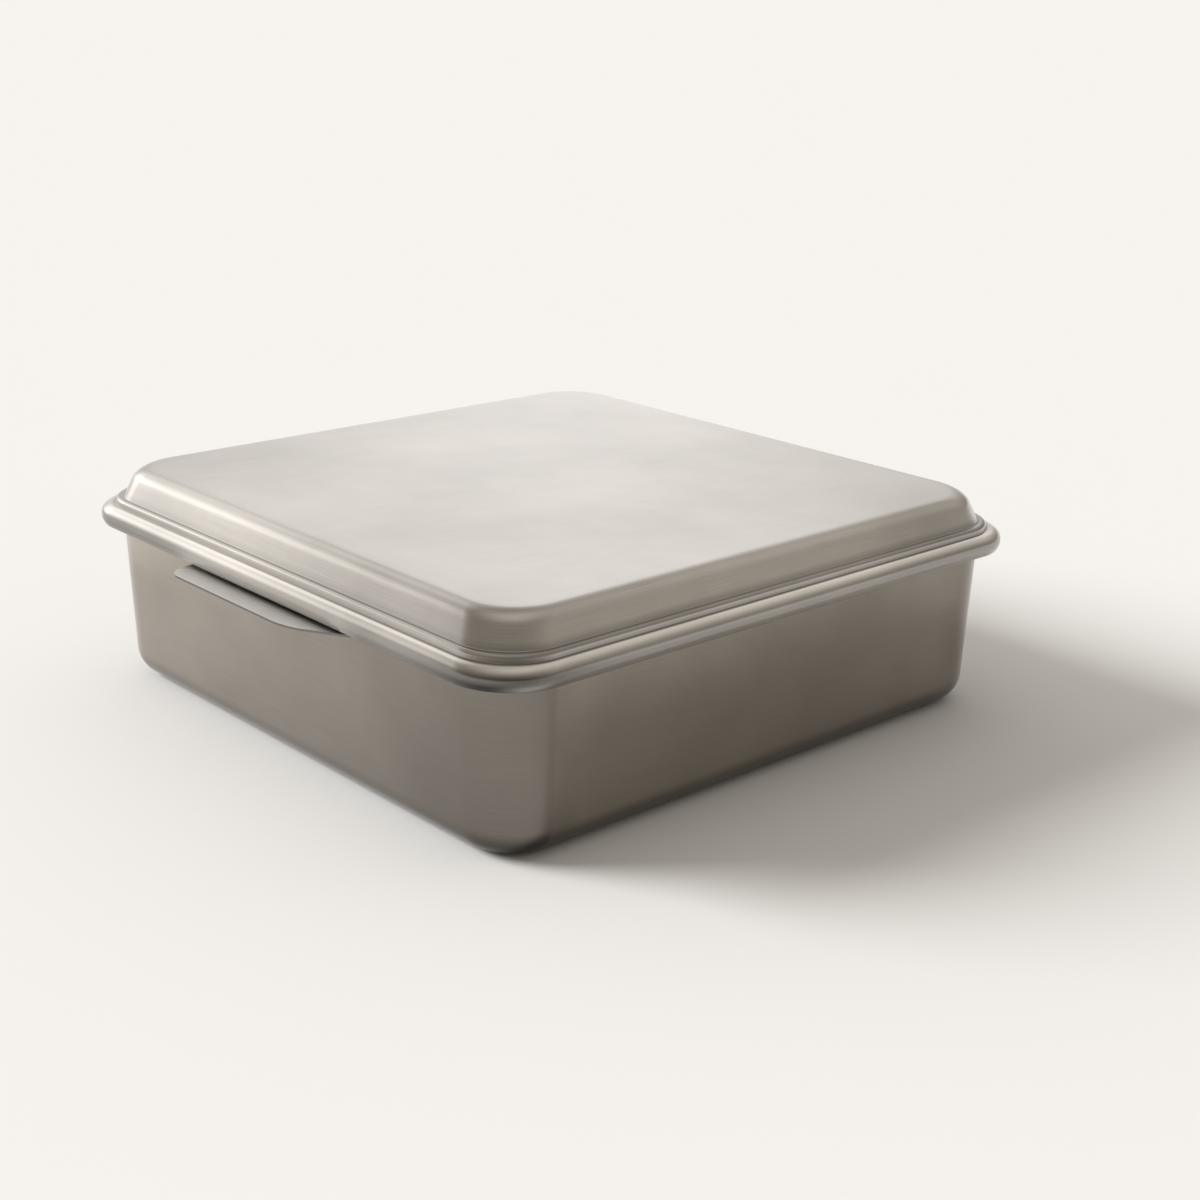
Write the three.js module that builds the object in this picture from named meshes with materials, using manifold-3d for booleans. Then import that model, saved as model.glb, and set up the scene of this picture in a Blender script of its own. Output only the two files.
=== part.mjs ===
// Covered cake pan in pressed stainless steel: a square deep-drawn pan with a rolled rim,
// a raised cover that drops over the rim, and an L-shaped handle tab under the rim on two sides.
// Millimetres, +Z up. The origin is under the middle of the pan, on the surface it stands on.
// The handle tabs are on -X and +X.

import * as THREE from 'three';
import { mergeVertices } from 'three/addons/utils/BufferGeometryUtils.js';
import Module from 'manifold-3d';

const wasm = await Module();
wasm.setup();

// Pan
const PAN_WIDTH = 228.6; // inside the mouth, across X
const PAN_LENGTH = 228.6; // inside the mouth, along Y
const PAN_HEIGHT = 64.2; // underside of the floor to the top of the rim
const PAN_GAUGE = 0.8;
const WALL_DRAFT = 2.2; // outward lean of the walls, degrees
const PAN_CORNER_RADIUS = 21.5; // outside of the vertical corners, at the mouth
const FLOOR_BEND_RADIUS = 10.5; // outside, between floor and wall
const ROLL_DIAMETER = 3.8; // outside of the rolled rim
const ROLL_GAP = 0.45; // from the rolled edge back to the wall

// Cover
const LID_GAUGE = 0.8;
const LID_RISE = 13.8; // top of the panel above the top of the pan's rim
const SEAT_GAP = 0.3; // between the pan's rolled rim and the ledge that sits on it
const SIDE_PLAY = 1.9; // between the pan's rolled rim and the inside of the cover's bead
const SKIRT_LEAN = 22; // inward lean of the skirt, degrees
const SHOULDER_RADIUS = 6; // between skirt and panel, outside
const SHELF_WIDTH = 1.9; // from the foot of the skirt to the ridge
const RIDGE_HEIGHT = 2.4; // shelf above the ledge
const RIDGE_SET = 0.5; // foot of the ridge's face outside its top
const RIDGE_RADIUS = 0.9;
const LEDGE_WIDTH = 4.4; // from the foot of the ridge to the outer face of the bead
const LEDGE_BEND_RADIUS = 0.6; // at the foot of the ridge
const BEAD_RADIUS = 3.8; // outside, from the ledge to the outer face
const BEAD_HEIGHT = 6.7; // ledge to the bead's lower edge
const TUCK_ANGLE = 20; // inward turn of the bead's lower edge, degrees
const TUCK_LENGTH = 1.6;
const TUCK_RADIUS = 1.6;
const PANEL_CORNER_RADIUS = 18.5; // in plan, at the edge of the panel
const BEAD_CORNER_RADIUS = 21.5; // in plan, at the outer face of the bead

// Handle tabs
const TAB_GAUGE = 0.8;
const TAB_LENGTH = 92; // along the wall
const TAB_REACH = 7.5; // tongue beyond the outer face of the bead
const TAB_CORNER_RADIUS = 6.5; // of the tongue's square end
const TAB_SWEEP = 21; // along the wall, how far the swept end slants back
const TAB_SWEEP_RADIUS = 34; // between the tongue's edge and its swept end
const TAB_DROOP = 3; // downward tilt of the tongue, degrees
const TAB_BEND_RADIUS = 1.6; // middle of the sheet, between foot and tongue
const TAB_CLEARANCE = 1.4; // under the rolled rim and under the cover's bead
const FOOT_LENGTH = 36; // along the wall
const FOOT_DROP = 6; // down the wall
const FOOT_RELIEF = 0.7; // tongue's shoulders beyond the bend
const WELD_GAP = 0.3; // between the foot and the wall it is welded to
const BLANK_MARGIN = 2; // bent blank beyond the outline that is trimmed from it

// Faceting
const CORNER_STEPS = 4; // half the facets of a corner in plan
const BEND_STEP = 22; // degrees of bend in one facet of a section
const TAB_PLAN_STEP = 8; // degrees of bend in one facet of the tongue's outline
const BEND_ROOM = 0.98; // share of a straight run that its bends may take up
const FLAT_RUN = 4; // of floor and panel, drawn before their first bend
const LEAST_CORNER = 1; // corner radius in plan
const JOIN_TOLERANCE = 1e-5; // points closer than this are one point

const STEEL = { color: 0xaba49c, roughness: 0.28, metalness: 1 };
const COVER_STEEL = { color: 0xc5c1bc, roughness: 0.26, metalness: 1 };
const TAB_STEEL = { color: 0xcfcbc6, roughness: 0.36, metalness: 1 };

// Sections are drawn as (offset, height). Offset is measured outward from the outside of the pan's
// wall at the rolled rim, so every level of pan and cover is an offset of one square plan.

const rollRadius = (ROLL_DIAMETER - PAN_GAUGE) / 2;
const draft = THREE.MathUtils.degToRad(WALL_DRAFT);
const rollCentre = new THREE.Vector2(rollRadius - PAN_GAUGE / 2, PAN_HEIGHT - ROLL_DIAMETER / 2);
const rollOuter = rollCentre.x + ROLL_DIAMETER / 2;
const beadOuter = rollOuter + SIDE_PLAY + LID_GAUGE;
const wallTop = new THREE.Vector2(
  rollCentre.x - rollRadius * Math.cos(draft),
  rollCentre.y + rollRadius * Math.sin(draft),
);

// Middle of the pan's wall at a height.
function wallOffset(height) {
  return wallTop.x - Math.tan(draft) * (wallTop.y - height);
}

// Signed angle from one direction to the next.
function turnBetween(before, after) {
  return Math.atan2(before.cross(after), before.dot(after));
}

// A path through corners, each rounded by its own bend radius, as a sheet is folded.
// Two bends too large for the straight run between them are made smaller by the same share.
function bentPath(corners) {
  const points = corners.map(([offset, height]) => new THREE.Vector2(offset, height));
  const runs = points.slice(1).map((point, i) => point.clone().sub(points[i]));
  const turns = runs.map((run, i) => (i === 0 ? 0 : turnBetween(runs[i - 1], run)));
  const reaches = turns.map((turn, i) => (i === 0 ? 0 : corners[i][2] * Math.tan(Math.abs(turn) / 2)));
  reaches.push(0);
  const shares = runs.map((run, i) => {
    const wanted = reaches[i] + reaches[i + 1];
    return Math.min(1, (run.length() * BEND_ROOM) / wanted);
  });
  const path = new THREE.Path();
  path.moveTo(points[0].x, points[0].y);
  for (let i = 1; i < runs.length; i += 1) {
    const share = Math.min(shares[i - 1], shares[i]);
    const radius = corners[i][2] * share;
    const along = runs[i - 1].clone().normalize();
    const start = points[i].clone().addScaledVector(along, -reaches[i] * share);
    const side = new THREE.Vector2(-along.y, along.x).multiplyScalar(Math.sign(turns[i]));
    const centre = start.clone().addScaledVector(side, radius);
    const startAngle = Math.atan2(-side.y, -side.x);
    path.lineTo(start.x, start.y);
    path.absarc(centre.x, centre.y, radius, startAngle, startAngle + turns[i], turns[i] < 0);
  }
  const end = points[points.length - 1];
  path.lineTo(end.x, end.y);
  return path;
}

// Points along a path with the direction at each, its bends cut into facets.
function samples(path, bendStep) {
  const step = THREE.MathUtils.degToRad(bendStep);
  const curves = path.curves.filter((curve) => curve.getLength() > JOIN_TOLERANCE);
  return curves.flatMap((curve, index) => {
    const bend = curve.isEllipseCurve ? Math.abs(curve.aEndAngle - curve.aStartAngle) : 0;
    const parts = Math.max(1, Math.ceil(bend / step));
    const list = [];
    for (let i = index === 0 ? 0 : 1; i <= parts; i += 1) {
      list.push({ point: curve.getPoint(i / parts), along: curve.getTangent(i / parts) });
    }
    return list;
  });
}

// The two faces of a sheet whose middle follows a path, as one open outline:
// out along the right-hand face and back along the left-hand face.
function sheetOutline(path, gauge) {
  const right = [];
  const left = [];
  for (const { point, along } of samples(path, BEND_STEP)) {
    const normal = new THREE.Vector2(along.y, -along.x).multiplyScalar(gauge / 2);
    right.push(point.clone().add(normal));
    left.push(point.clone().sub(normal));
  }
  return [...right, ...left.reverse()];
}

// The pan's plan grown outward by an offset, with a corner radius.
function planRing(offset, cornerRadius) {
  const x = PAN_WIDTH / 2 + PAN_GAUGE + offset - cornerRadius;
  const y = PAN_LENGTH / 2 + PAN_GAUGE + offset - cornerRadius;
  const ring = new THREE.Path();
  ring.absarc(x, y, cornerRadius, 0, Math.PI / 2);
  ring.absarc(-x, y, cornerRadius, Math.PI / 2, Math.PI);
  ring.absarc(-x, -y, cornerRadius, Math.PI, 1.5 * Math.PI);
  ring.absarc(x, -y, cornerRadius, 1.5 * Math.PI, 2 * Math.PI);
  return ring.getPoints(CORNER_STEPS);
}

// A pressed shell: an outline swept round the plan, closed by a flat face at its first and last ring.
function pressedShell(outline, cornerRadiusAt) {
  const rings = outline.map(({ x, y }) => {
    const cornerRadius = Math.max(LEAST_CORNER, cornerRadiusAt(x));
    return planRing(x, cornerRadius).map((p) => new THREE.Vector3(p.x, p.y, y));
  });
  const count = rings[0].length;
  const vertices = rings.flat();
  const bottomCentre = vertices.length;
  const topCentre = bottomCentre + 1;
  vertices.push(new THREE.Vector3(0, 0, outline[0].y));
  vertices.push(new THREE.Vector3(0, 0, outline[outline.length - 1].y));
  const faces = [];
  for (let i = 0; i < rings.length - 1; i += 1) {
    for (let j = 0; j < count; j += 1) {
      const a = i * count + j;
      const b = i * count + ((j + 1) % count);
      faces.push(a, b, b + count, a, b + count, a + count);
    }
  }
  const last = (rings.length - 1) * count;
  for (let j = 0; j < count; j += 1) {
    const next = (j + 1) % count;
    faces.push(bottomCentre, next, j, topCentre, last + j, last + next);
  }
  const geometry = new THREE.BufferGeometry().setFromPoints(vertices);
  geometry.setIndex(faces);
  geometry.computeVertexNormals();
  return geometry;
}

function toSolid(geometry) {
  geometry.deleteAttribute('normal');
  geometry.deleteAttribute('uv');
  const merged = mergeVertices(geometry, JOIN_TOLERANCE);
  return new wasm.Manifold(new wasm.Mesh({
    numProp: 3,
    vertProperties: new Float32Array(merged.attributes.position.array),
    triVerts: new Uint32Array(merged.index.array),
  }));
}

function toGeometry(solid) {
  const mesh = solid.getMesh();
  const geometry = new THREE.BufferGeometry();
  geometry.setAttribute('position', new THREE.BufferAttribute(mesh.vertProperties, 3));
  geometry.setIndex(new THREE.BufferAttribute(mesh.triVerts, 1));
  geometry.computeVertexNormals();
  return geometry;
}

// Floor, bend, drafted wall, and the rim rolled outward until its edge nearly meets the wall.
function panGeometry() {
  const floorMiddle = PAN_GAUGE / 2;
  const floorCorner = wallOffset(floorMiddle);
  const path = bentPath([
    [floorCorner - FLOOR_BEND_RADIUS - FLAT_RUN, floorMiddle],
    [floorCorner, floorMiddle, FLOOR_BEND_RADIUS - PAN_GAUGE / 2],
    [wallTop.x, wallTop.y],
  ]);
  const edgeRoom = (PAN_GAUGE + ROLL_GAP) / rollRadius;
  const edgeAngle = -Math.PI + Math.acos(1 - edgeRoom);
  path.absarc(rollCentre.x, rollCentre.y, rollRadius, Math.PI - draft, edgeAngle, true);
  return pressedShell(sheetOutline(path, PAN_GAUGE), (offset) => PAN_CORNER_RADIUS + offset);
}

// Heights and offsets of the cover, along the middle of its sheet.
const ledgeOffset = beadOuter - LEDGE_WIDTH;
const ledgeHeight = PAN_HEIGHT + SEAT_GAP + LID_GAUGE / 2;
const beadMiddle = beadOuter - LID_GAUGE / 2;
const beadBottom = ledgeHeight + LID_GAUGE / 2 - BEAD_HEIGHT;

// Panel, shoulder, skirt, shelf and ridge, ledge on the pan's rim, bead, and its tucked-in edge.
function lidGeometry() {
  const panelHeight = PAN_HEIGHT + LID_RISE - LID_GAUGE / 2;
  const shelfHeight = ledgeHeight + RIDGE_HEIGHT;
  const ridgeOffset = ledgeOffset - RIDGE_SET;
  const footOffset = ridgeOffset - SHELF_WIDTH;
  const lean = Math.tan(THREE.MathUtils.degToRad(SKIRT_LEAN));
  const shoulderOffset = footOffset - lean * (panelHeight - shelfHeight);
  const tuck = THREE.MathUtils.degToRad(TUCK_ANGLE);
  const tuckHeight = beadBottom + TUCK_LENGTH * Math.cos(tuck);
  const path = bentPath([
    [shoulderOffset - SHOULDER_RADIUS - FLAT_RUN, panelHeight],
    [shoulderOffset, panelHeight, SHOULDER_RADIUS - LID_GAUGE / 2],
    [footOffset, shelfHeight, RIDGE_RADIUS],
    [ridgeOffset, shelfHeight, RIDGE_RADIUS],
    [ledgeOffset, ledgeHeight, LEDGE_BEND_RADIUS],
    [beadMiddle, ledgeHeight, BEAD_RADIUS - LID_GAUGE / 2],
    [beadMiddle, tuckHeight, TUCK_RADIUS],
    [beadMiddle - TUCK_LENGTH * Math.sin(tuck), beadBottom],
  ]);
  const slope = (BEAD_CORNER_RADIUS - PANEL_CORNER_RADIUS) / (beadOuter - shoulderOffset);
  const cornerRadiusAt = (offset) => BEAD_CORNER_RADIUS + slope * (offset - beadOuter);
  return pressedShell(sheetOutline(path, LID_GAUGE), cornerRadiusAt);
}

// L-shaped plate on the +X wall: a foot down the wall and a tongue out under the rim,
// square with a round corner towards -Y and swept back towards +Y.
function tabGeometry() {
  const droop = Math.tan(THREE.MathUtils.degToRad(TAB_DROOP));
  const tongueEnd = beadOuter + TAB_REACH;
  const underRoll = PAN_HEIGHT - ROLL_DIAMETER;
  const underBead = beadBottom + droop * (beadMiddle - rollCentre.x);
  const tongueHeight = Math.min(underRoll, underBead) - TAB_CLEARANCE - TAB_GAUGE / 2;
  const footOffset = PAN_GAUGE / 2 + WELD_GAP + TAB_GAUGE / 2;
  const bendOffset = wallOffset(tongueHeight) + footOffset;
  const bendHeight = tongueHeight + droop * (rollCentre.x - bendOffset);
  const footBottom = bendHeight - FOOT_DROP;
  const blankEnd = tongueEnd + BLANK_MARGIN;
  const section = new THREE.Shape(sheetOutline(bentPath([
    [wallOffset(footBottom) + footOffset, footBottom],
    [bendOffset, bendHeight, TAB_BEND_RADIUS],
    [blankEnd, bendHeight - droop * (blankEnd - bendOffset)],
  ]), TAB_GAUGE));
  const half = TAB_LENGTH / 2;
  const blankLength = TAB_LENGTH + 2 * BLANK_MARGIN;
  const strip = new THREE.ExtrudeGeometry(section, { depth: blankLength, bevelEnabled: false });
  strip.rotateX(Math.PI / 2);
  strip.translate(0, blankLength / 2, 0);

  const root = wallOffset(footBottom);
  const notchEnd = bendOffset + TAB_BEND_RADIUS + FOOT_RELIEF;
  const footHalf = FOOT_LENGTH / 2;
  const tongue = samples(bentPath([
    [notchEnd, -half],
    [tongueEnd, -half, TAB_CORNER_RADIUS],
    [tongueEnd, half - TAB_SWEEP, TAB_SWEEP_RADIUS],
    [notchEnd, half],
  ]), TAB_PLAN_STEP);
  const plan = new THREE.Shape([
    new THREE.Vector2(notchEnd, footHalf),
    new THREE.Vector2(root, footHalf),
    new THREE.Vector2(root, -footHalf),
    new THREE.Vector2(notchEnd, -footHalf),
    ...tongue.map(({ point }) => point),
  ]);
  const cutter = new THREE.ExtrudeGeometry(plan, { depth: PAN_HEIGHT, bevelEnabled: false });
  const tab = toGeometry(toSolid(strip).intersect(toSolid(cutter)));
  tab.translate(PAN_WIDTH / 2 + PAN_GAUGE, 0, 0);
  return tab;
}

function piece(name, geometry, look) {
  const mesh = new THREE.Mesh(geometry, new THREE.MeshStandardMaterial(look));
  mesh.name = name;
  return mesh;
}

const pan = new THREE.Group();
pan.add(piece('pan_body', panGeometry(), STEEL));
const tabRight = piece('handle_tab_right', tabGeometry(), TAB_STEEL);
const tabLeft = piece('handle_tab_left', tabGeometry(), TAB_STEEL);
tabLeft.rotation.z = Math.PI;
pan.add(tabRight, tabLeft);

const cover = new THREE.Group();
cover.add(piece('lid_shell', lidGeometry(), COVER_STEEL));

const coveredPan = new THREE.Group();
coveredPan.add(pan, cover);

export default coveredPan;
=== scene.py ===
from functools import partial
import math

import bmesh
import bpy
from mathutils import Matrix, Vector, noise


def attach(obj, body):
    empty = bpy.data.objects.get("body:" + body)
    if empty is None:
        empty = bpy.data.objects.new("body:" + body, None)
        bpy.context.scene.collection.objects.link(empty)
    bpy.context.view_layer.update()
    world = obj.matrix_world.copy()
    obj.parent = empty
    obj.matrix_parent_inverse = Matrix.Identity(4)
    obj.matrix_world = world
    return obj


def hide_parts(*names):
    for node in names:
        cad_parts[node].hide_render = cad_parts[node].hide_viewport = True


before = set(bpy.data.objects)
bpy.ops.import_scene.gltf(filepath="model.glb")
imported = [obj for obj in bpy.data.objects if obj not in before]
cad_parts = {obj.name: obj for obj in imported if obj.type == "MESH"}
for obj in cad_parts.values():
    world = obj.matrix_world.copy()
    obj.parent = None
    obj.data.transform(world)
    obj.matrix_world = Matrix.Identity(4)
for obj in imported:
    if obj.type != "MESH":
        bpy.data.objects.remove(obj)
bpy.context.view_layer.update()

# Sizes in millimetres, as in the part's solids. SIDE_PLAY and TAB_REACH are a hair smaller than there,
# so that rounding doesn't take the drawn pieces past the solids' box.
PAN_HALF = 115.1
PAN_HEIGHT = 64.2
GAUGE = 0.8
DRAFT = math.radians(2.2)
PAN_CORNER = 21.5
FLOOR_BEND = 10.5
ROLL_DIAMETER = 3.8
ROLL_GAP = 0.45

LID_TOP = 78.0
SEAT_GAP = 0.3
SIDE_PLAY = 1.89
SKIRT_LEAN = math.radians(22)
SHOULDER = 6.0
SHELF_WIDTH = 1.9
RIDGE_HEIGHT = 2.4
RIDGE_SET = 0.5
RIDGE_RADIUS = 0.9
LEDGE_WIDTH = 4.4
LEDGE_BEND = 0.6
BEAD_RADIUS = 3.8
BEAD_HEIGHT = 6.7
TUCK_ANGLE = math.radians(20)
TUCK_LENGTH = 1.6
TUCK_RADIUS = 1.6
PANEL_CORNER = 18.5
BEAD_CORNER = 21.5

TAB_LENGTH = 92.0
TAB_REACH = 7.45
TAB_CORNER = 6.5
TAB_SWEEP = 21.0
TAB_SWEEP_RADIUS = 34.0
TAB_DROOP = math.radians(3)
TAB_BEND = 1.6
TAB_CLEARANCE = 1.4
FOOT_LENGTH = 36.0
FOOT_DROP = 6.0
FOOT_RELIEF = 0.7
WELD_GAP = 0.3

# How finely the pieces are drawn, lengths in millimetres.
MM = 0.001
BEND_STEP = math.radians(7)
ROLL_STEP = math.radians(12)
TAB_BEND_STEP = math.radians(8)
TAB_EDGE_STEP = math.radians(4)
CORNER_STEPS = 20
SIDE_STEPS = 18
EDGE_STEPS = 6
PAN_RUN = 4.0
COVER_RUN = 3.0
FLAT_START = 4.0
RUN_SHARE = 0.98
NO_REACH = 1e-9
SAME_POINT = 1e-4
PANEL_RINGS = 18
FIRST_RING = 0.4
SMALLEST_CORNER = 1.0
CORNER_SHARE = 0.98

# The walls' and the panel's unevenness, as waves of (height, size, seed), and where it starts and is full.
# PANEL_DEPTH is how far below its top the cover is still uneven.
WALL_WAVES = ((0.10, 46, 0), (0.05, 19, 40))
WALL_FOOT_BAND = (2, 16)
WALL_TOP_BAND = (56, 46)
PANEL_WAVES = ((0.16, 70, 7), (0.05, 30, 19))
PANEL_BAND = (112, 87)
PANEL_DEPTH = 2.5

# Wear and painted shade on the pan. An amount is the share of the steel's colour that it takes away, or
# gives back in the painted highlight.
# A band is the pair of places where something starts and where it is full.
WATER_HAZE = 0.05
WATER_MARK = 0.12
WATER_SIZE = 38
WATER_SEED = 90
# Painted shade: the base bend is darker towards the floor.
BASE_BEND_SHADE = 0.55
BASE_BEND_SHADE_BAND = (10.5, 5)
# The painted shade on the walls below has its edges wobbled by a drift of this size.
DRIFT = 14
DRIFT_SIZE = 34
DRIFT_SEED = 60
# Painted shade on the front corner and the front end of the -X wall.
SIDE_SHADE = 0.47
SIDE_SHADE_BAND = (-91, -96.5)
SIDE_SHADE_MIDDLE = -112
SIDE_SHADE_SPREAD = 76
# Painted shade on the -Y wall, darker towards +X.
FRONT_SHADE_BAND = (-95, -107)
FRONT_SHADE = 0.07
FRONT_SHADE_PATCHES = ((0.09, (-20, 30)), (0.12, (75, 88)))
# Painted highlight high on the far end of the -X wall.
WALL_HIGHLIGHT = 0.4
HIGHLIGHT_WALL_BAND = (-98, -113)
HIGHLIGHT_LENGTH_BAND = (45, 95)
HIGHLIGHT_HEIGHT_BAND = (38, 54)
# Painted shade on the wall between the tabs and the rim.
TAB_WALLS = 105
TAB_SLIT_SHADE = 0.7
TAB_SLIT_SHADE_HALF = 42
TAB_SLIT_SHADE_HEIGHT = 59.5
TAB_SLIT_SHADE_SPREAD = 2.4

# Painted shade and highlight on the cover, in pairs of (elsewhere, on the front side). The front side is
# -Y, and the corner is the one at -X and -Y. A shift is from a corner of the section, and the tabs' share
# is what is left of the face's painted shade over the tabs.
FRONT_SIDE_BAND = (-98, -108)
FRONT_END_BAND = (-118, -108)
# Painted shade in the groove, at the skirt's foot and under the ridge's nose.
GROOVE_SHIFT = (0.15, 0.25)
GROOVE_SHADE = (0.35, 0.70)
GROOVE_SPREAD = 0.8
FOOT_SHIFT = (0.5, 0.1)
FOOT_SHADE = (0.22, 0.38)
FOOT_SPREAD = 1.2
NOSE_SHIFT = 0.3
NOSE_SHADE = (0, 0.40)
NOSE_SPREAD = 1.1
# Painted shade on the bead's outer face and lip and at the front corner, less over the tabs.
FACE_SHADE = (0.34, 0.44)
FACE_DEPTH_BAND = (0.6, 2.6)
LIP_SHADE = (0.22, 0)
LIP_SHADE_BAND = (61.5, 59.5)
# Painted light on the bead's lip, on the front side.
LIP_LIGHTENING = (0, 0.34)
LIP_LIGHTENING_BAND = (60.8, 59.4)
CORNER_SHADE = 0.4
CORNER_PLACE = (-110, -110)
CORNER_SPREAD = 22
CORNER_SHADE_BAND = (64, 62)
TAB_SHADE_SHARE = 0.5
TAB_SHADE_LENGTH_BAND = (46, 56)
TAB_SHADE_WALL_BAND = (104, 100)
# Painted highlight along the bead's crown.
CROWN_TURN = math.radians(20)
CROWN_HIGHLIGHT = (0.55, 0.75)
CROWN_SPREAD = (1.0, 1.25)

# How the tabs are cut and eased, and their painted shade.
PATH_SPARE = 3.0
TONGUE_CUTS = 5
TONGUE_CUT_STEP = 2.4
LENGTH_CUTS = range(-42, 43, 6)
CUT_MERGE = 1e-5
EDGE_EASE = 0.22
EASE_SEGMENTS = 3
SHARP_ANGLE = math.radians(50)
# Painted shade on the tab's root under the rim and on its cut edge.
ROOT_SHADE = 0.6
ROOT_SHADE_BAND = (6.2, 3.7)
CUT_EDGE_SHADE = 0.72
CUT_EDGE_START = 3.0
CUT_EDGE_TILT = 0.5

# How the steel varies. The grain map is in millimetres, the cloud and patch scales are per metre, and the
# bump distance is in metres.
GRAIN_STRETCH = (0.035, 4.2, 1.0)
CLOUD_SCALE = 12.0
PATCH_SCALE = 55.0
CLOUD_TONE = 0.55
GRAIN_TONE = 0.33
PATCH_TONE = 0.12
MIDDLE_TONE = 0.5
DARK_TONE = 0.76
DARK_PLACE = 0.3
LIGHT_TONE = 1.24
LIGHT_PLACE = 0.7
GRAIN_BUMP = 0.5
PATCH_BUMP = 0.9
BUMP_STRENGTH = 0.25
BUMP_DISTANCE = 0.00012


# Section drawing

def bent_path(corners, step=BEND_STEP):
    """Points and directions along a path through corners (offset, height, bend radius).

    Bends that are too big for the run between them shrink to share it.
    """
    points = [Vector(corner[:2]) for corner in corners]
    runs = [b - a for a, b in zip(points, points[1:])]
    turns = [0.0]
    reaches = [0.0]
    for before, after, corner in zip(runs, runs[1:], corners[1:]):
        turns.append(math.atan2(before.x * after.y - before.y * after.x, before.dot(after)))
        reaches.append(corner[2] * math.tan(abs(turns[-1]) / 2))
    reaches.append(0.0)
    shares = []
    for run, first, second in zip(runs, reaches, reaches[1:]):
        shares.append(min(1, RUN_SHARE * run.length / max(first + second, NO_REACH)))
    path = [(points[0], runs[0].normalized())]
    for i in range(1, len(runs)):
        share = min(shares[i - 1], shares[i])
        radius = corners[i][2] * share
        along = runs[i - 1].normalized()
        side = Vector((-along.y, along.x)) * math.copysign(1, turns[i])
        centre = points[i] - along * reaches[i] * share + side * radius
        count = max(2, math.ceil(abs(turns[i]) / step))
        for k in range(count + 1):
            spin = Matrix.Rotation(turns[i] * k / count, 2)
            path.append((centre - (spin @ side) * radius, spin @ along))
    path.append((points[-1], runs[-1].normalized()))
    kept = path[:1]
    for before, here in zip(path, path[1:]):
        if (here[0] - before[0]).length > SAME_POINT:
            kept.append(here)
    return kept


def arc_path(centre, radius, start, end, step):
    """Points and directions along a clockwise arc."""
    count = math.ceil((start - end) / step)
    path = []
    for k in range(count + 1):
        angle = start + (end - start) * k / count
        out = Vector((math.cos(angle), math.sin(angle)))
        path.append((centre + out * radius, Vector((out.y, -out.x))))
    return path


def split_long(path, longest):
    """The path with extra points on its long runs."""
    out = [path[0]]
    for (a, _), (b, along) in zip(path, path[1:]):
        parts = max(1, math.ceil((b - a).length / longest))
        for k in range(1, parts + 1):
            out.append((a.lerp(b, k / parts), along if k == parts else (b - a).normalized()))
    return out


def sheet_outline(path):
    """The outline of a sheet along a path: right-hand face out, round edge, left-hand face back."""
    right = []
    left = []
    for point, along in path:
        normal = Vector((along.y, -along.x)) * (GAUGE / 2)
        right.append(point + normal)
        left.append(point - normal)
    point, along = path[-1]
    edge = []
    for k in range(1, EDGE_STEPS):
        spin = Matrix.Rotation(math.pi * k / EDGE_STEPS, 2)
        edge.append(point + (spin @ Vector((along.y, -along.x))) * (GAUGE / 2))
    return right + edge + left[::-1]


# Sweeping round the plan

def plan_ring(offset, corner):
    """Points round a square plan with round corners, at an offset from the pan's mouth."""
    flat = PAN_HALF + offset - corner
    points = []
    for quarter in range(4):
        turn = Matrix.Rotation(quarter * math.pi / 2, 2)
        for k in range(SIDE_STEPS):
            points.append(turn @ Vector((flat + corner, flat * (2 * k / SIDE_STEPS - 1))))
        for k in range(CORNER_STEPS):
            angle = math.pi / 2 * k / CORNER_STEPS
            points.append(turn @ Vector((flat + corner * math.cos(angle), flat + corner * math.sin(angle))))
    return points


def ring_lengths():
    """Distance along the mouth's ring at each of its points and once round, for the grain."""
    ring = plan_ring(0, PAN_CORNER)
    total = [0.0]
    for a, b in zip(ring, ring[1:] + ring[:1]):
        total.append(total[-1] + (b - a).length)
    return total


AROUND = ring_lengths()
RING_COUNT = len(AROUND) - 1


def closing_levels(end):
    """Levels (offset, height, flat) from near the middle out to an end of an outline."""
    shares = [(k + FIRST_RING) / PANEL_RINGS for k in range(PANEL_RINGS)]
    return [(-PAN_HALF + (PAN_HALF + end.x) * share, end.y, True) for share in shares]


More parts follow.
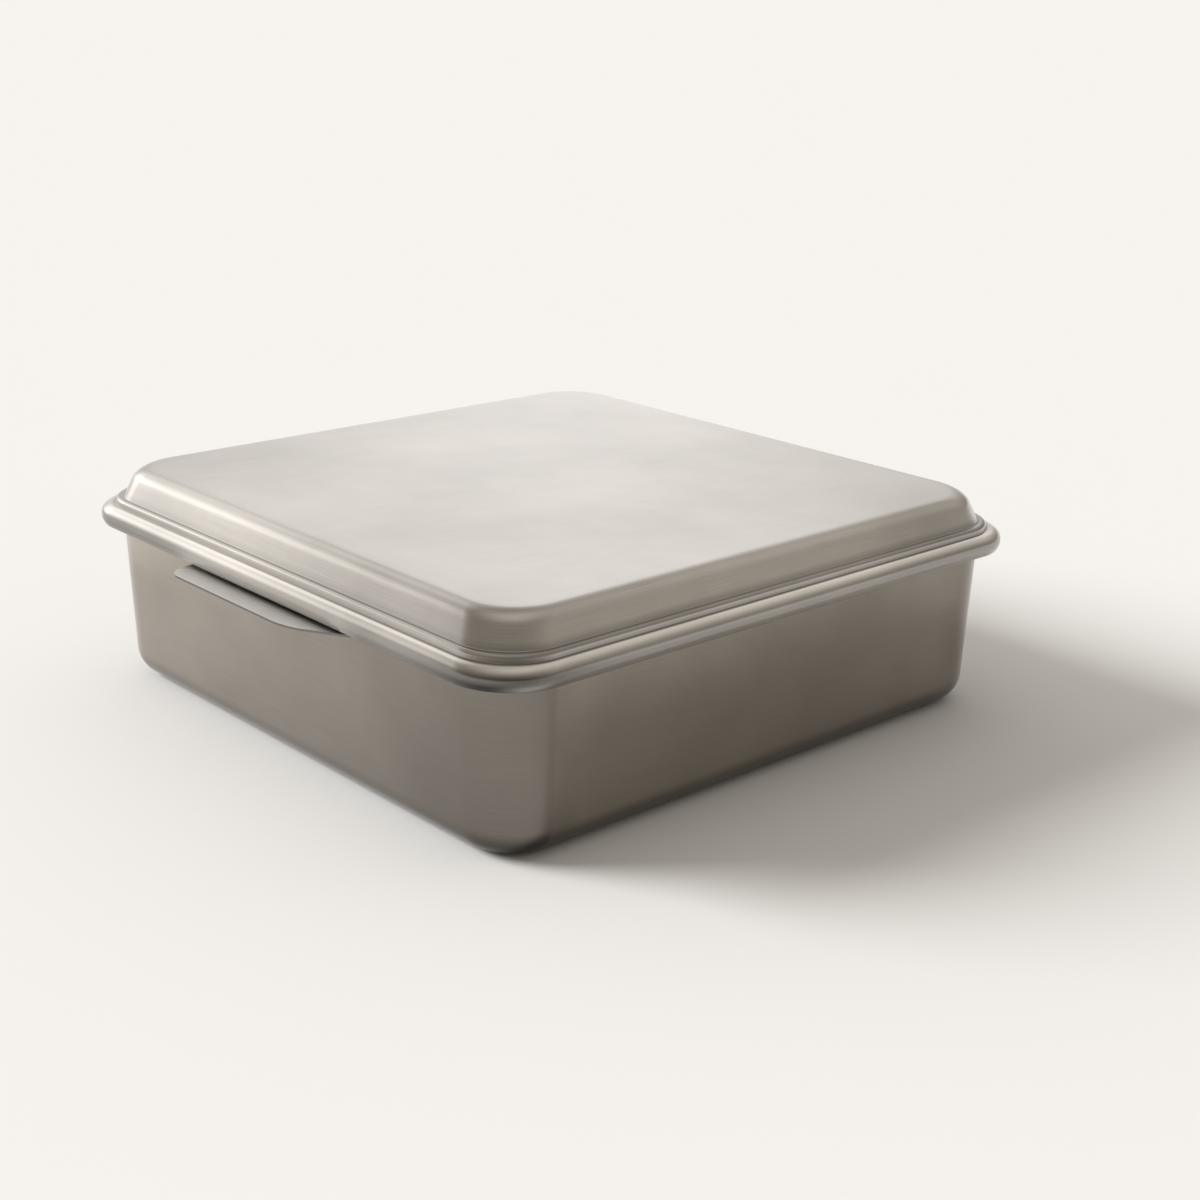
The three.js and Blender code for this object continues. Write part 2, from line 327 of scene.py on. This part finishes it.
def pressed_shell(name, outline, corner_at, shift, wear_and_painted_light):
    """An outline swept round the plan, its two ends closed by rings that shrink to the middle.

    A shift moves a point (x, y, z). Wear and painted light are worked out from a point of the outline and
    its place (x, y, z).
    """
    levels = closing_levels(outline[0])
    levels += [(p.x, p.y, False) for p in outline]
    levels += closing_levels(outline[-1])[::-1]
    draft = bmesh.new()
    grain = draft.loops.layers.uv.new("grain")
    darkening = draft.verts.layers.float.new("wear_and_painted_light")
    rings = []
    across = []
    before = None
    for offset, height, _ in levels:
        half = PAN_HALF + offset
        corner = max(min(SMALLEST_CORNER, half), corner_at(offset))
        ring = plan_ring(offset, min(corner, CORNER_SHARE * half))
        here = Vector((offset, height))
        rings.append([draft.verts.new(shift(Vector((p.x, p.y, height)))) for p in ring])
        for vert in rings[-1]:
            vert[darkening] = wear_and_painted_light(here, vert.co)
        across.append(0.0 if before is None else across[-1] + (here - before).length)
        before = here
    poles = []
    for _, height, _ in (levels[0], levels[-1]):
        pole = draft.verts.new(shift(Vector((0, 0, height))))
        pole[darkening] = wear_and_painted_light(Vector((-PAN_HALF, height)), pole.co)
        poles.append(pole)
    for i in range(len(rings) - 1):
        flat = levels[i][2] and levels[i + 1][2]
        for j in range(RING_COUNT):
            n = (j + 1) % RING_COUNT
            face = draft.faces.new((rings[i][j], rings[i][n], rings[i + 1][n], rings[i + 1][j]))
            grain_u = (AROUND[j], AROUND[j + 1], AROUND[j + 1], AROUND[j])
            grain_v = (across[i], across[i], across[i + 1], across[i + 1])
            for loop, u, v in zip(face.loops, grain_u, grain_v):
                loop[grain].uv = loop.vert.co.xy if flat else (u, v)
    for j in range(RING_COUNT):
        n = (j + 1) % RING_COUNT
        for corners in ((poles[0], rings[0][n], rings[0][j]), (poles[1], rings[-1][j], rings[-1][n])):
            for loop in draft.faces.new(corners).loops:
                loop[grain].uv = loop.vert.co.xy
    return to_object(name, draft)


def to_object(name, draft):
    """A smooth object in metres from a draft in millimetres."""
    bmesh.ops.recalc_face_normals(draft, faces=draft.faces)
    bmesh.ops.scale(draft, vec=(MM, MM, MM), verts=draft.verts)
    mesh = bpy.data.meshes.new(name)
    draft.to_mesh(mesh)
    draft.free()
    mesh.polygons.foreach_set("use_smooth", [True] * len(mesh.polygons))
    made = bpy.data.objects.new(name, mesh)
    bpy.context.scene.collection.objects.link(made)
    return made


# Unevenness, wear and painted light

def wave(p, size, seed):
    """Smooth noise of about plus or minus one, with waves of the given size."""
    return noise.noise(Vector((p.x, p.y, p.z + seed)) / size)


def uneven(p, waves, level=0):
    """The sum of waves of (height, size, seed), each measured from a level."""
    return sum(height * (wave(p, size, seed) - level) for height, size, seed in waves)


def ramp(value, start, end):
    """A straight step from nought at the start to one at the end."""
    return min(max((value - start) / (end - start), 0), 1)


def ease(value, start, end):
    """A smooth step from nought at the start to one at the end."""
    share = ramp(value, start, end)
    return share * share * (3 - 2 * share)


def spot(distance, spread, sharpness=2):
    """One at no distance, falling off smoothly over the spread, with a flatter top when sharper."""
    return math.exp(-abs(distance / spread) ** sharpness)


def mixed(pair, share):
    """The first of a pair of values at share nought, the second at share one."""
    return pair[0] + (pair[1] - pair[0]) * share


# Pan

roll_radius = (ROLL_DIAMETER - GAUGE) / 2
roll_centre = Vector((roll_radius - GAUGE / 2, PAN_HEIGHT - ROLL_DIAMETER / 2))
wall_top = roll_centre + Vector((-math.cos(DRAFT), math.sin(DRAFT))) * roll_radius


def wall_offset(height):
    """The offset of the wall's middle at a height."""
    return wall_top.x - math.tan(DRAFT) * (wall_top.y - height)


floor_middle = GAUGE / 2
floor_corner = wall_offset(floor_middle)
bend_radius = FLOOR_BEND - GAUGE / 2
bend_reach = bend_radius * math.tan(math.pi / 4 - DRAFT / 2)
bend_centre = Vector((floor_corner - bend_reach, floor_middle + bend_radius))
floor_and_wall = bent_path([
    (floor_corner - FLOOR_BEND - FLAT_START, floor_middle),
    (floor_corner, floor_middle, bend_radius),
    (wall_top.x, wall_top.y),
])
roll_end = -math.pi + math.acos(1 - (GAUGE + ROLL_GAP) / roll_radius)
roll = arc_path(roll_centre, roll_radius, math.pi - DRAFT, roll_end, ROLL_STEP)
pan_path = split_long(floor_and_wall, PAN_RUN) + roll[1:]


def pan_corner(offset):
    """The plan's corner radius at an offset, about a fixed centre."""
    return PAN_CORNER + offset


def pan_shift(p):
    """The drawn walls are slightly uneven between the floor and the rim."""
    rise = ramp(p.z, *WALL_FOOT_BAND) * ramp(p.z, *WALL_TOP_BAND)
    out = Vector((p.x, p.y, 0)).normalized()
    return p + out * uneven(p, WALL_WAVES) * rise


def outside(p):
    """Whether a point of the pan's section is on its outer face."""
    if p.y > bend_centre.y:
        return p.x > wall_offset(p.y)
    if p.x > bend_centre.x:
        return (p - bend_centre).length > bend_radius
    return p.y < floor_middle


def pan_wear_and_painted_light(p, place):
    """Faint water marks inside; outside, painted shade on the base bend, the front corner, the -Y wall and
    between the tabs and the rim, and a painted highlight high on the -X wall.
    """
    if not outside(p):
        return WATER_HAZE + WATER_MARK * max(0, wave(place, WATER_SIZE, WATER_SEED))
    base_shade = BASE_BEND_SHADE * ease(p.y, *BASE_BEND_SHADE_BAND)
    drift = DRIFT * wave(place, DRIFT_SIZE, DRIFT_SEED)
    side = SIDE_SHADE * ease(place.x, *SIDE_SHADE_BAND)
    side *= spot(place.y + drift - SIDE_SHADE_MIDDLE, SIDE_SHADE_SPREAD)
    front = FRONT_SHADE
    for amount, band in FRONT_SHADE_PATCHES:
        front += amount * ease(place.x + drift, *band)
    wall_shade = max(side, front * ease(place.y, *FRONT_SHADE_BAND))
    painted_highlight = WALL_HIGHLIGHT * ease(place.x, *HIGHLIGHT_WALL_BAND) * ease(place.y, *HIGHLIGHT_LENGTH_BAND)
    painted_highlight *= ease(p.y, *HIGHLIGHT_HEIGHT_BAND)
    shade = 0
    if abs(place.x) > TAB_WALLS:
        shade = TAB_SLIT_SHADE * spot(place.y, TAB_SLIT_SHADE_HALF, sharpness=8)
        shade *= spot(p.y - TAB_SLIT_SHADE_HEIGHT, TAB_SLIT_SHADE_SPREAD, sharpness=4)
    return 1 - (1 - base_shade) * (1 - wall_shade) * (1 - shade) - painted_highlight


pan = pressed_shell("pan_drawn", sheet_outline(pan_path), pan_corner, pan_shift, pan_wear_and_painted_light)


# Cover

bead_outer = roll_centre.x + ROLL_DIAMETER / 2 + SIDE_PLAY + GAUGE
bead_middle = bead_outer - GAUGE / 2
ledge_offset = bead_outer - LEDGE_WIDTH
ledge_height = PAN_HEIGHT + SEAT_GAP + GAUGE / 2
bead_bottom = ledge_height + GAUGE / 2 - BEAD_HEIGHT
tuck_height = bead_bottom + TUCK_LENGTH * math.cos(TUCK_ANGLE)
panel_height = LID_TOP - GAUGE / 2
shelf_height = ledge_height + RIDGE_HEIGHT
ridge_offset = ledge_offset - RIDGE_SET
foot_offset = ridge_offset - SHELF_WIDTH
shoulder_offset = foot_offset - math.tan(SKIRT_LEAN) * (panel_height - shelf_height)
lid_path = bent_path([
    (shoulder_offset - SHOULDER - FLAT_START, panel_height),
    (shoulder_offset, panel_height, SHOULDER - GAUGE / 2),
    (foot_offset, shelf_height, RIDGE_RADIUS),
    (ridge_offset, shelf_height, RIDGE_RADIUS),
    (ledge_offset, ledge_height, LEDGE_BEND),
    (bead_middle, ledge_height, BEAD_RADIUS - GAUGE / 2),
    (bead_middle, tuck_height, TUCK_RADIUS),
    (bead_middle - TUCK_LENGTH * math.sin(TUCK_ANGLE), bead_bottom),
])
corner_slope = (BEAD_CORNER - PANEL_CORNER) / (bead_outer - shoulder_offset)

groove = Vector((ledge_offset, ledge_height + GAUGE / 2)) + Vector(GROOVE_SHIFT)
skirt_foot = Vector((foot_offset, shelf_height + GAUGE / 2)) + Vector(FOOT_SHIFT)
ridge_nose = Vector((ridge_offset + NOSE_SHIFT, shelf_height))
crown = Vector((bead_outer, ledge_height + GAUGE / 2))
crown -= Vector((1 - math.sin(CROWN_TURN), 1 - math.cos(CROWN_TURN))) * BEAD_RADIUS


def lid_corner(offset):
    """The plan's corner radius at an offset, from the panel's to the bead's."""
    return BEAD_CORNER + corner_slope * (offset - bead_outer)


def lid_shift(p):
    """The panel is pressed a little uneven, and stays at or under its flat height."""
    if p.z < LID_TOP - PANEL_DEPTH:
        return p
    inside = ramp(max(abs(p.x), abs(p.y)), *PANEL_BAND)
    return p + Vector((0, 0, uneven(p, PANEL_WAVES, 1) * inside))


def lid_painted_light(p, place):
    """Painted shade lies in the groove, the bead's crown has a painted highlight, and its outer face has
    painted shade, less over the tabs, and its lip is painted lighter on the front side.
    """
    front = ease(place.y, *FRONT_SIDE_BAND) * ease(place.x, *FRONT_END_BAND)
    shade = mixed(GROOVE_SHADE, front) * spot((p - groove).length, GROOVE_SPREAD)
    shade += mixed(FOOT_SHADE, front) * spot((p - skirt_foot).length, FOOT_SPREAD)
    shade = max(shade, mixed(NOSE_SHADE, front) * spot((p - ridge_nose).length, NOSE_SPREAD))
    corner = spot((place.xy - Vector(CORNER_PLACE)).length, CORNER_SPREAD)
    face = mixed(FACE_SHADE, front) * ease(ledge_height - p.y, *FACE_DEPTH_BAND)
    face -= mixed(LIP_LIGHTENING, front) * ease(p.y, *LIP_LIGHTENING_BAND)
    face += mixed(LIP_SHADE, front) * ease(p.y, *LIP_SHADE_BAND)
    face += CORNER_SHADE * corner * ease(p.y, *CORNER_SHADE_BAND)
    away = max(ease(abs(place.y), *TAB_SHADE_LENGTH_BAND), ease(abs(place.x), *TAB_SHADE_WALL_BAND))
    face *= mixed((TAB_SHADE_SHARE, 1), away)
    crown_highlight = mixed(CROWN_HIGHLIGHT, front) * spot((p - crown).length, mixed(CROWN_SPREAD, front))
    return max(shade, face) - crown_highlight


lid_outline = sheet_outline(split_long(lid_path, COVER_RUN))
lid = pressed_shell("lid_pressed", lid_outline, lid_corner, lid_shift, lid_painted_light)


# Handle tabs

droop = math.tan(TAB_DROOP)
tongue_end = bead_outer + TAB_REACH
under_roll = PAN_HEIGHT - ROLL_DIAMETER
under_bead = bead_bottom + droop * (bead_middle - roll_centre.x)
tongue_height = min(under_roll, under_bead) - TAB_CLEARANCE - GAUGE / 2
tab_set = GAUGE + WELD_GAP
tab_bend_offset = wall_offset(tongue_height) + tab_set
tab_bend_height = tongue_height + droop * (roll_centre.x - tab_bend_offset)
foot_bottom = tab_bend_height - FOOT_DROP
notch_end = tab_bend_offset + TAB_BEND + FOOT_RELIEF
path_end = tongue_end + PATH_SPARE
tab_path = bent_path([
    (wall_offset(foot_bottom) + tab_set, foot_bottom),
    (tab_bend_offset, tab_bend_height, TAB_BEND),
    (path_end, tab_bend_height - droop * (path_end - tab_bend_offset)),
], TAB_BEND_STEP)
stations = [0.0]
for (a, _), (b, _) in zip(tab_path, tab_path[1:]):
    stations.append(stations[-1] + (b - a).length)


def fold(station):
    """The point of the tab's bent path at a distance along it."""
    k = 0
    while k < len(tab_path) - 2 and station > stations[k + 1]:
        k += 1
    share = (station - stations[k]) / (stations[k + 1] - stations[k])
    return tab_path[k][0].lerp(tab_path[k + 1][0], share)


def tongue_station(offset):
    """The distance along the path at an offset on the straight tongue."""
    start = tab_path[-2][0].x
    share = (offset - start) / (tab_path[-1][0].x - start)
    return stations[-2] + (stations[-1] - stations[-2]) * share


def flat_tab():
    """The tab before bending, distances along the path in x, cut across where it bends."""
    half = TAB_LENGTH / 2
    tongue = bent_path([
        (notch_end, -half),
        (tongue_end, -half, TAB_CORNER),
        (tongue_end, half - TAB_SWEEP, TAB_SWEEP_RADIUS),
        (notch_end, half),
    ], TAB_EDGE_STEP)
    notch = tongue_station(notch_end)
    foot = FOOT_LENGTH / 2
    outline = [(notch, foot), (0.0, foot), (0.0, -foot), (notch, -foot)]
    outline += [(tongue_station(p.x), p.y) for p, _ in tongue]
    plate = bmesh.new()
    plate.faces.new([plate.verts.new((station, along, 0)) for station, along in outline])
    tongue_cuts = [tongue_station(notch_end + k * TONGUE_CUT_STEP) for k in range(TONGUE_CUTS)]
    cuts = [((station, 0, 0), (1, 0, 0)) for station in stations[1:-1] + tongue_cuts]
    cuts += [((0, along, 0), (0, 1, 0)) for along in LENGTH_CUTS]
    for point, normal in cuts:
        whole = plate.verts[:] + plate.edges[:] + plate.faces[:]
        bmesh.ops.bisect_plane(plate, geom=whole, plane_co=point, plane_no=normal, dist=CUT_MERGE)
    return plate


def tab_painted_shade(mesh):
    """Painted shade: the cut edge is darker than the faces, and so is the root under the rim."""
    darkening = [ROOT_SHADE * ramp(vert.co.x / MM - PAN_HALF, *ROOT_SHADE_BAND) for vert in mesh.vertices]
    for face in mesh.polygons:
        if abs(face.normal.z) < CUT_EDGE_TILT and face.center.x / MM > PAN_HALF + CUT_EDGE_START:
            for k in face.vertices:
                darkening[k] = max(darkening[k], CUT_EDGE_SHADE)
    return darkening


def tab_plate(name):
    """A flat plate bent into a foot and a tongue, with eased edges, on the +X wall."""
    plate = flat_tab()
    grain = plate.loops.layers.uv.new("grain")
    for face in plate.faces:
        for loop in face.loops:
            loop[grain].uv = (loop.vert.co.y, loop.vert.co.x)
    for vert in plate.verts:
        p = fold(vert.co.x)
        vert.co = Vector((PAN_HALF + p.x, vert.co.y, p.y))
    tab = to_object(name, plate)
    sheet = tab.modifiers.new("sheet", "SOLIDIFY")
    sheet.thickness = GAUGE * MM
    sheet.offset = 0
    sheet.use_even_offset = True
    eased = tab.modifiers.new("eased", "BEVEL")
    eased.width = EDGE_EASE * MM
    eased.segments = EASE_SEGMENTS
    eased.limit_method = "ANGLE"
    eased.angle_limit = SHARP_ANGLE
    bpy.context.view_layer.update()
    shaped = tab.evaluated_get(bpy.context.evaluated_depsgraph_get())
    mesh = bpy.data.meshes.new_from_object(shaped)
    tab.modifiers.clear()
    tab.data = mesh
    mesh.polygons.foreach_set("use_smooth", [True] * len(mesh.polygons))
    mesh.set_sharp_from_angle(angle=SHARP_ANGLE)
    mesh.attributes.new("wear_and_painted_light", "FLOAT", "POINT").data.foreach_set("value", tab_painted_shade(mesh))
    return tab


tab_right = tab_plate("tab_right_pressed")
tab_left = tab_plate("tab_left_pressed")
tab_left.data.transform(Matrix.Rotation(math.pi, 4, "Z"))


# Materials

def feed(tree, socket, value):
    """Sets a socket to a value, or links another node's output to it."""
    if isinstance(value, bpy.types.NodeSocket):
        tree.links.new(value, socket)
    else:
        socket.default_value = value


def make_node(tree, kind, *values, **settings):
    """A new node with its settings and its first inputs."""
    made = tree.nodes.new(kind)
    for key, value in settings.items():
        setattr(made, key, value)
    for socket, value in zip(made.inputs, values):
        feed(tree, socket, value)
    return made


def math_node(tree, operation, *values, clamp=False):
    """The output of a new math node."""
    made = make_node(tree, "ShaderNodeMath", *values, operation=operation, use_clamp=clamp)
    return made.outputs[0]


def steel(name, colour, rough, cloud, grain, seed):
    """Satin stainless steel: drawn grain along the grain map, cloudy patches, wear and painted light, fine
    bump.
    """
    material = bpy.data.materials.new(name)
    material.use_nodes = True
    tree = material.node_tree
    shader = tree.nodes["Principled BSDF"]
    shader.inputs["Metallic"].default_value = 1.0
    node = partial(make_node, tree)
    number = partial(math_node, tree)

    def texture(vector, scale, detail, rough_share):
        made = node("ShaderNodeTexNoise", vector, noise_dimensions="4D")
        made.inputs["W"].default_value = seed
        made.inputs["Scale"].default_value = scale
        made.inputs["Detail"].default_value = detail
        made.inputs["Roughness"].default_value = rough_share
        return made.outputs[0]

    def weighed(*terms):
        total = 0.0
        for value, weight in terms:
            total = number("MULTIPLY_ADD", value, weight, total)
        return total

    place = node("ShaderNodeTexCoord").outputs["Object"]
    grain_map = node("ShaderNodeUVMap", uv_map="grain").outputs["UV"]
    stretch = node("ShaderNodeMapping", grain_map)
    stretch.inputs["Scale"].default_value = GRAIN_STRETCH
    streak = texture(stretch.outputs["Vector"], scale=1.0, detail=6.0, rough_share=0.62)
    cloudy = texture(place, scale=CLOUD_SCALE, detail=3.0, rough_share=0.5)
    patch = texture(place, scale=PATCH_SCALE, detail=4.0, rough_share=0.55)

    cloud_swing = number("SUBTRACT", cloudy, MIDDLE_TONE)
    grain_swing = number("SUBTRACT", streak, MIDDLE_TONE)
    spread = weighed((cloud_swing, cloud), (grain_swing, grain))
    feed(tree, shader.inputs["Roughness"], number("ADD", spread, rough, clamp=True))

    tone = weighed((cloudy, CLOUD_TONE), (streak, GRAIN_TONE), (patch, PATCH_TONE))
    tint = node("ShaderNodeValToRGB", tone)
    ends = ((DARK_PLACE, DARK_TONE), (LIGHT_PLACE, LIGHT_TONE))
    for element, (position, share) in zip(tint.color_ramp.elements, ends):
        element.position = position
        element.color = (*[min(1.0, channel * share) for channel in colour], 1)
    # The wear attribute holds wear and painted shade, taken off the colour, and painted highlight, added to
    # it.
    wear_and_painted_light = node("ShaderNodeAttribute", attribute_name="wear_and_painted_light").outputs["Fac"]
    worn_and_shaded = node("ShaderNodeVectorMath", tint.outputs["Color"], operation="SCALE")
    feed(tree, worn_and_shaded.inputs["Scale"], number("SUBTRACT", 1.0, wear_and_painted_light))
    feed(tree, shader.inputs["Base Color"], worn_and_shaded.outputs[0])

    bump = node("ShaderNodeBump")
    bump.inputs["Strength"].default_value = BUMP_STRENGTH
    bump.inputs["Distance"].default_value = BUMP_DISTANCE
    feed(tree, bump.inputs["Height"], weighed((streak, GRAIN_BUMP), (patch, PATCH_BUMP)))
    feed(tree, shader.inputs["Normal"], bump.outputs["Normal"])
    return material


# One stainless steel: the pan's colour is darker than the cover's as painted shade, and the tabs' lighter
# as painted light.
pan_steel = steel("pan_steel", (0.37, 0.338, 0.302), rough=0.19, cloud=0.10, grain=0.08, seed=1.0)
lid_steel = steel("cover_steel", (0.56, 0.535, 0.505), rough=0.19, cloud=0.10, grain=0.08, seed=5.0)
tab_steel = steel("tab_steel", (0.93, 0.91, 0.875), rough=0.5, cloud=0.10, grain=0.12, seed=9.0)

for piece, body, nodes, material, slot in (
    (pan, "pan", ["pan_body"], pan_steel, "pan_steel"),
    (tab_right, "pan", ["handle_tab_right"], tab_steel, "tab_steel"),
    (tab_left, "pan", ["handle_tab_left"], tab_steel, "tab_steel"),
    (lid, "lid", ["lid_shell"], lid_steel, "cover_steel"),
):
    piece.data.materials.clear()
    piece.data.materials.append(material)
    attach(piece, body)
    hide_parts(*nodes)


# Floor, in metres

FLOOR_HALF = 40
FLOOR_COLOUR = (0.90, 0.895, 0.885)
FLOOR_ROUGHNESS = 0.9


def paper(name):
    """Pale matt paper."""
    material = bpy.data.materials.new(name)
    material.use_nodes = True
    shader = material.node_tree.nodes["Principled BSDF"]
    shader.inputs["Base Color"].default_value = (*FLOOR_COLOUR, 1)
    shader.inputs["Roughness"].default_value = FLOOR_ROUGHNESS
    shader.inputs["Specular IOR Level"].default_value = 0.0
    return material


draft = bmesh.new()
bmesh.ops.create_grid(draft, x_segments=1, y_segments=1, size=FLOOR_HALF)
floor_mesh = bpy.data.meshes.new("floor")
draft.to_mesh(floor_mesh)
draft.free()
floor = bpy.data.objects.new("floor", floor_mesh)
floor.data.materials.append(paper("floor_paper"))
bpy.context.scene.collection.objects.link(floor)


# Lamp and sky, in degrees, azimuth from +Y towards +X

ALL_ROUND = 1e6
SKY_BASE = (0.30, 0.275, 0.24)
SKY_GLOWS = (
    # Soft patches as (azimuth, elevation, half width, half height, colour).
    # Behind the object and above it, seen in the panel and the shoulder.
    (40, 12, 15.5, 17, (0.85, 0.85, 0.86)),
    (19, 30, 16, 12, (0.45, 0.45, 0.45)),
    (6, 40, 16, 10, (0.45, 0.45, 0.45)),
    (58, 28, 16, 13, (0.42, 0.42, 0.42)),
    # To the right, to the left and in front on the right, seen in the skirts and walls.
    (100, 38, 40, 22, (0.28, 0.27, 0.26)),
    (-13, 16, 22, 16, (2.4, 2.4, 2.39)),
    (150, 8, 38, 26, (0.15, 0.14, 0.125)),
    # Overhead, and a pale band at the horizon.
    (0, 90, ALL_ROUND, 30, (0.35, 0.34, 0.33)),
    (0, 0, ALL_ROUND, 5, (0.48, 0.48, 0.49)),
)


def far_lamp(name, azimuth, elevation, energy, angle):
    """A far soft lamp that lights the floor and casts the object's shadow."""
    turn = math.radians(azimuth)
    rise = math.radians(elevation)
    towards = Vector((math.cos(rise) * math.sin(turn), math.cos(rise) * math.cos(turn), math.sin(rise)))
    lamp = bpy.data.lights.new(name, "SUN")
    lamp.energy = energy
    lamp.angle = math.radians(angle)
    made = bpy.data.objects.new(name, lamp)
    made.rotation_euler = (-towards).to_track_quat("-Z", "Y").to_euler()
    made.visible_glossy = False
    bpy.context.scene.collection.objects.link(made)


far_lamp("key", azimuth=-40, elevation=27, energy=3.45, angle=28)

world = bpy.data.worlds.new("studio")
bpy.context.scene.world = world
world.use_nodes = True
sky_tree = world.node_tree
sky_math = partial(math_node, sky_tree)
sky_place = make_node(sky_tree, "ShaderNodeTexCoord").outputs["Generated"]
sky_x, sky_y, sky_z = make_node(sky_tree, "ShaderNodeSeparateXYZ", sky_place).outputs
sky_elevation = sky_math("DEGREES", sky_math("ARCSINE", sky_z))


def glow(azimuth, elevation, half_width, half_height):
    """A soft patch of sky: one in the middle, falling off smoothly over its half width and height."""
    east = math.sin(math.radians(azimuth))
    north = math.cos(math.radians(azimuth))
    along = sky_math("ADD", sky_math("MULTIPLY", sky_x, east), sky_math("MULTIPLY", sky_y, north))
    aside = sky_math("SUBTRACT", sky_math("MULTIPLY", sky_x, north), sky_math("MULTIPLY", sky_y, east))
    swing = sky_math("DEGREES", sky_math("ARCTAN2", aside, along))
    lift = sky_math("SUBTRACT", sky_elevation, elevation)
    squares = []
    for distance, half in ((swing, half_width), (lift, half_height)):
        share = sky_math("DIVIDE", distance, half)
        squares.append(sky_math("MULTIPLY", share, share))
    return sky_math("EXPONENT", sky_math("MULTIPLY", sky_math("ADD", *squares), -1.0))


sky = SKY_BASE
for *shape, colour in SKY_GLOWS:
    added = make_node(sky_tree, "ShaderNodeVectorMath", glow(*shape), colour, sky, operation="MULTIPLY_ADD")
    sky = added.outputs[0]
feed(sky_tree, sky_tree.nodes["Background"].inputs["Color"], sky)


# Camera, fitted to the photograph's outline; lengths in millimetres

CAMERA_YAW = math.radians(-42.448)
CAMERA_PITCH = math.radians(18.703)
CAMERA_ROLL = math.radians(1.148)
CAMERA_DISTANCE = 693.41
CAMERA_SIDE = 20.1
CAMERA_RISE = 29.81
FOCAL_PIXELS = 1867.3
PHOTO_PIXELS = 1200
SENSOR_WIDTH = 36
CLIP_START = 10

flat = math.cos(CAMERA_PITCH)
back = Vector((math.sin(CAMERA_YAW) * flat, -math.cos(CAMERA_YAW) * flat, math.sin(CAMERA_PITCH)))
level_right = Vector((math.cos(CAMERA_YAW), math.sin(CAMERA_YAW), 0))
level_up = back.cross(level_right)
right = level_right * math.cos(CAMERA_ROLL) + level_up * math.sin(CAMERA_ROLL)
up = level_up * math.cos(CAMERA_ROLL) - level_right * math.sin(CAMERA_ROLL)
lens = bpy.data.cameras.new("camera")
lens.sensor_width = SENSOR_WIDTH
lens.lens = FOCAL_PIXELS * SENSOR_WIDTH / PHOTO_PIXELS
lens.clip_start = CLIP_START * MM
camera = bpy.data.objects.new("camera", lens)
place = (right * CAMERA_SIDE + up * CAMERA_RISE + back * CAMERA_DISTANCE) * MM
camera.matrix_world = Matrix((
    (right.x, up.x, back.x, place.x),
    (right.y, up.y, back.y, place.y),
    (right.z, up.z, back.z, place.z),
    (0, 0, 0, 1),
))
bpy.context.scene.collection.objects.link(camera)
bpy.context.scene.camera = camera
bpy.context.scene.view_settings.view_transform = "Standard"
